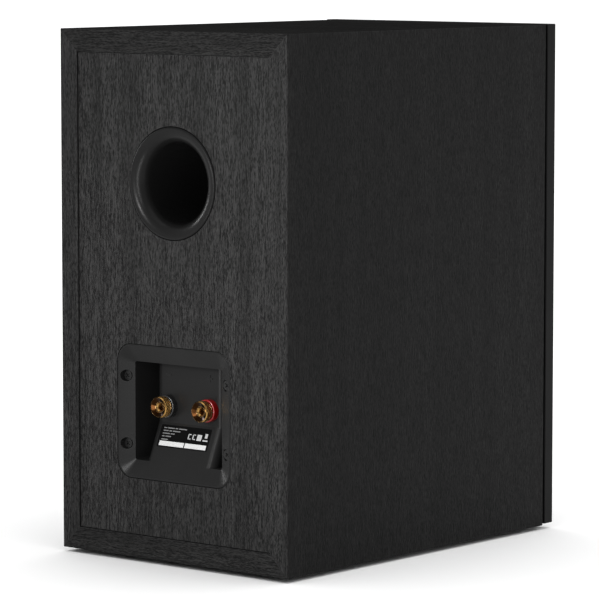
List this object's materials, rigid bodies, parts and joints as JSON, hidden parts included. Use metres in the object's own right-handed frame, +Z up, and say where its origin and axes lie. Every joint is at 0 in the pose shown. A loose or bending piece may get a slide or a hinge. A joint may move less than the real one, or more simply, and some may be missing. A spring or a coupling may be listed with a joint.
{
  "type": "bookshelf speaker",
  "caption": "Ported two-way bookshelf speaker: a box cabinet with a grooved front baffle, woofer, dome tweeter, rear port and recessed screw-down binding posts.",
  "frame": {"origin": "middle of the speaker's footprint, on the surface that its rubber feet stand on", "axes": "+Z up, -Y out of the front baffle, +Y out of the rear terminals, +X to the right as seen from the front"},
  "size_m": [0.198, 0.2936, 0.3534],
  "materials": {
    "black_vinyl": "satin",
    "baffle_lacquer": "satin",
    "raw_fibreboard": "matte",
    "rubber": "matte",
    "wadding": "matte",
    "black_plastic": "satin",
    "cup_plastic": "satin",
    "foam": "matte",
    "black_screw": "satin",
    "label": "satin",
    "gold_plate": "polished",
    "black_ring": "satin",
    "red_ring": "satin",
    "tinned_metal": "satin",
    "circuit_board": "satin",
    "copper_winding": "gloss",
    "capacitor_film": "gloss",
    "cement": "matte",
    "wire_jacket": "satin",
    "cast_basket": "satin",
    "surround_rubber": "satin",
    "cone": "satin",
    "spider_cloth": "matte",
    "former": "satin",
    "steel": "satin",
    "ferrite": "matte",
    "silk": "satin"
  },
  "bodies": {
    "cabinet": {"side_panel_left": "black_vinyl", "side_panel_right": "black_vinyl", "top_panel": "black_vinyl", "bottom_panel": "black_vinyl", "rear_panel": "black_vinyl", "front_baffle": "baffle_lacquer", "window_brace": "raw_fibreboard", "rubber_feet": "rubber", "wadding_left": "wadding", "wadding_right": "wadding", "port_flare": "black_plastic", "port_tube": "black_plastic", "terminal_cup": "cup_plastic", "terminal_gasket": "foam", "terminal_screws": "black_screw", "label_plate": "label", "post_stud_negative": "gold_plate", "post_stud_positive": "gold_plate", "base_ring_negative": "black_ring", "base_ring_positive": "red_ring", "post_nuts": "tinned_metal", "solder_tabs": "tinned_metal", "crossover_board": "circuit_board", "board_standoffs": "black_plastic", "board_screws": "black_screw", "woofer_inductor": "copper_winding", "tweeter_inductor": "copper_winding", "woofer_capacitor": "capacitor_film", "tweeter_capacitor": "capacitor_film", "resistors": "cement", "input_wires": "wire_jacket", "woofer_wires": "wire_jacket", "tweeter_wires": "wire_jacket", "woofer_basket": "cast_basket", "woofer_trim_ring": "surround_rubber", "woofer_surround": "surround_rubber", "spider": "spider_cloth", "woofer_top_plate": "steel", "woofer_magnet": "ferrite", "woofer_yoke": "steel", "woofer_terminals": "tinned_metal", "woofer_screws": "black_screw", "tweeter_faceplate": "black_plastic", "tweeter_surround": "silk", "tweeter_top_plate": "steel", "tweeter_magnet": "ferrite", "tweeter_yoke": "steel", "tweeter_terminals": "tinned_metal", "tweeter_screws": "black_screw"},
    "negative_clamp": {"clamp_washer_negative": "gold_plate"},
    "negative_knob": {"knob_negative": "gold_plate"},
    "positive_clamp": {"clamp_washer_positive": "gold_plate"},
    "positive_knob": {"knob_positive": "gold_plate"},
    "cone_assembly": {"woofer_cone": "cone", "dust_cap": "cone", "coil_former": "former", "voice_coil": "copper_winding"},
    "dome_assembly": {"tweeter_dome": "silk", "tweeter_voice_coil": "copper_winding"}
  },
  "joints": [
    {"name": "negative_knob_travel", "type": "slide", "parent": "cabinet", "child": "negative_clamp", "axis": [0, 1, 0], "range_m": [0, 0.0025]},
    {"name": "negative_knob_turn", "type": "hinge", "parent": "negative_clamp", "child": "negative_knob", "pos_m": [0.018, 0.1368, 0.104], "axis": [0, 1, 0], "range_deg": [0, 902.4]},
    {"name": "positive_knob_travel", "type": "slide", "parent": "cabinet", "child": "positive_clamp", "axis": [0, 1, 0], "range_m": [0, 0.0025]},
    {"name": "positive_knob_turn", "type": "hinge", "parent": "positive_clamp", "child": "positive_knob", "pos_m": [-0.018, 0.1368, 0.104], "axis": [0, 1, 0], "range_deg": [0, 902.4]},
    {"name": "woofer_travel", "type": "slide", "parent": "cabinet", "child": "cone_assembly", "axis": [0, -1, 0], "range_m": [-0.004, 0.004], "stiffness_N_per_m": 1000, "deforming": ["woofer_surround", "spider"]},
    {"name": "tweeter_travel", "type": "slide", "parent": "cabinet", "child": "dome_assembly", "axis": [0, -1, 0], "range_m": [-0.0004, 0.0004], "stiffness_N_per_m": 1500, "deforming": ["tweeter_surround"]}
  ],
  "couplings": [
    {"joint": "negative_knob_turn", "follows": "negative_knob_travel", "rad_per_m": 6283.2},
    {"joint": "positive_knob_turn", "follows": "positive_knob_travel", "rad_per_m": 6283.2}
  ]
}
